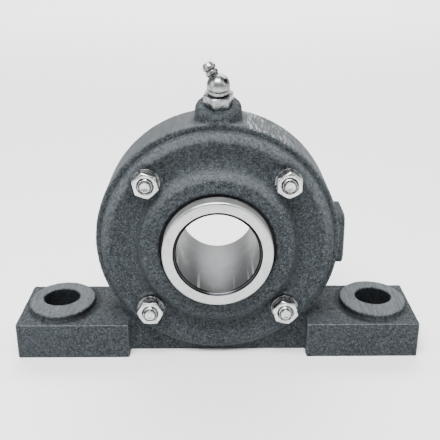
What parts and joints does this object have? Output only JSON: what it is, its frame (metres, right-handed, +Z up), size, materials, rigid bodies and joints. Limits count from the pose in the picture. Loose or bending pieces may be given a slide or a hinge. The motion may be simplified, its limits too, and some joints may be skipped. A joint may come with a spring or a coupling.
{
  "type": "pillow block bearing",
  "caption": "Foot-mounted pillow block with a cast drum, bolted end covers, a self-aligning ball bearing with a long inner ring, and an angled grease nipple on top.",
  "frame": {"origin": "middle of the base plane, under the middle of the bearing", "axes": "+X along the two feet, +Y along the shaft to the rear, +Z up from the base"},
  "size_m": [0.179, 0.052, 0.1295],
  "materials": {
    "cast_iron_paint": "dark grey coated sand casting",
    "bearing_steel": "ground and turned bearing steel",
    "zinc_steel": "bright zinc plating",
    "cage_plastic": "glass-filled polyamide",
    "felt": "oiled pressed wool felt",
    "gasket_paper": "oiled gasket paper"
  },
  "bodies": {
    "housing_unit": {"housing": "cast_iron_paint", "front_cover": "cast_iron_paint", "rear_cover": "cast_iron_paint", "front_gasket": "gasket_paper", "rear_gasket": "gasket_paper", "outer_ring": "bearing_steel", "cover_bolt_1": "zinc_steel", "cover_nut_1": "zinc_steel", "nut_washer_1": "zinc_steel", "head_washer_1": "zinc_steel", "cover_bolt_2": "zinc_steel", "cover_nut_2": "zinc_steel", "nut_washer_2": "zinc_steel", "head_washer_2": "zinc_steel", "cover_bolt_3": "zinc_steel", "cover_nut_3": "zinc_steel", "nut_washer_3": "zinc_steel", "head_washer_3": "zinc_steel", "cover_bolt_4": "zinc_steel", "cover_nut_4": "zinc_steel", "nut_washer_4": "zinc_steel", "head_washer_4": "zinc_steel", "grease_nipple": "zinc_steel", "nipple_spring": "zinc_steel"},
    "front_seal": {"front_felt_seal": "felt"},
    "rear_seal": {"rear_felt_seal": "felt"},
    "shaft_ring": {"inner_ring": "bearing_steel"},
    "rolling_set": {"cage": "cage_plastic", "balls_front_row": "bearing_steel", "balls_rear_row": "bearing_steel"},
    "check_valve": {"nipple_check_ball": "bearing_steel"}
  },
  "joints": [
    {"name": "align_pitch", "type": "hinge", "parent": "housing_unit", "child": "front_seal", "pos_m": [0, 0, 0.053], "axis": [1, 0, 0], "range_deg": [-1.7, 1.7], "deforming": ["front_felt_seal", "rear_felt_seal"]},
    {"name": "align_yaw", "type": "hinge", "parent": "front_seal", "child": "rear_seal", "pos_m": [0, 0, 0.053], "axis": [0, 0, 1], "range_deg": [-1.7, 1.7], "deforming": ["front_felt_seal", "rear_felt_seal"]},
    {"name": "shaft_spin", "type": "hinge", "parent": "rear_seal", "child": "shaft_ring", "pos_m": [0, 0, 0.053], "axis": [0, 1, 0], "continuous": true},
    {"name": "cage_orbit", "type": "hinge", "parent": "rear_seal", "child": "rolling_set", "pos_m": [0, 0, 0.053], "axis": [0, 1, 0], "continuous": true},
    {"name": "check_ball_slide", "type": "slide", "parent": "housing_unit", "child": "check_valve", "axis": [0.4648, -0.1981, -0.863], "range_m": [0, 0.0008], "stiffness_N_per_m": 500, "deforming": ["nipple_spring"]}
  ],
  "couplings": [
    {"joint": "cage_orbit", "follows": "shaft_spin", "ratio": 0.4186}
  ]
}
